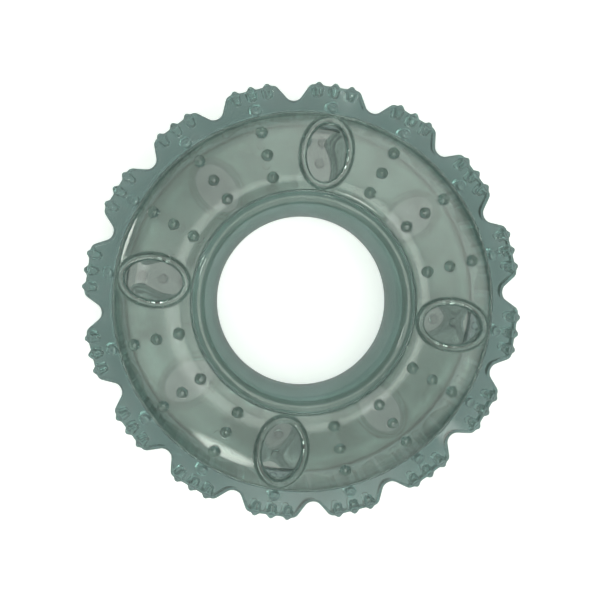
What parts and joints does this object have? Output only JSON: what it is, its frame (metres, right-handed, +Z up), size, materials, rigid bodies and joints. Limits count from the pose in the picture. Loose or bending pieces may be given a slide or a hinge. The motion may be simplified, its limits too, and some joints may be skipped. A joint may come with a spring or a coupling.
{
  "type": "treat-dispensing ring toy",
  "caption": "Soft see-through pet ring like a small tyre, with a lobed and ribbed tread, dotted sidewalls and lipped oval ports that let treats out of its hollow chamber.",
  "frame": {"origin": "the middle of the ring, on the surface that it lies on", "axes": "+Z is up along the ring's axis, and +X runs through the middle of a port in the upper sidewall"},
  "size_m": [0.15, 0.15, 0.042],
  "materials": {
    "ring": "smooth see-through elastomer, teal-grey, semi-gloss",
    "wall": "smooth see-through elastomer, pale grey-green, semi-gloss",
    "bead": "clear elastomer seam, seen dark edge-on"
  },
  "bodies": {
    "root": {"tread_ring": "ring", "hub_ring": "ring", "upper_sidewall": "wall", "lower_sidewall": "wall", "upper_outer_bond_bead": "bead", "upper_inner_bond_bead": "bead", "lower_outer_bond_bead": "bead", "lower_inner_bond_bead": "bead"}
  },
  "joints": []
}
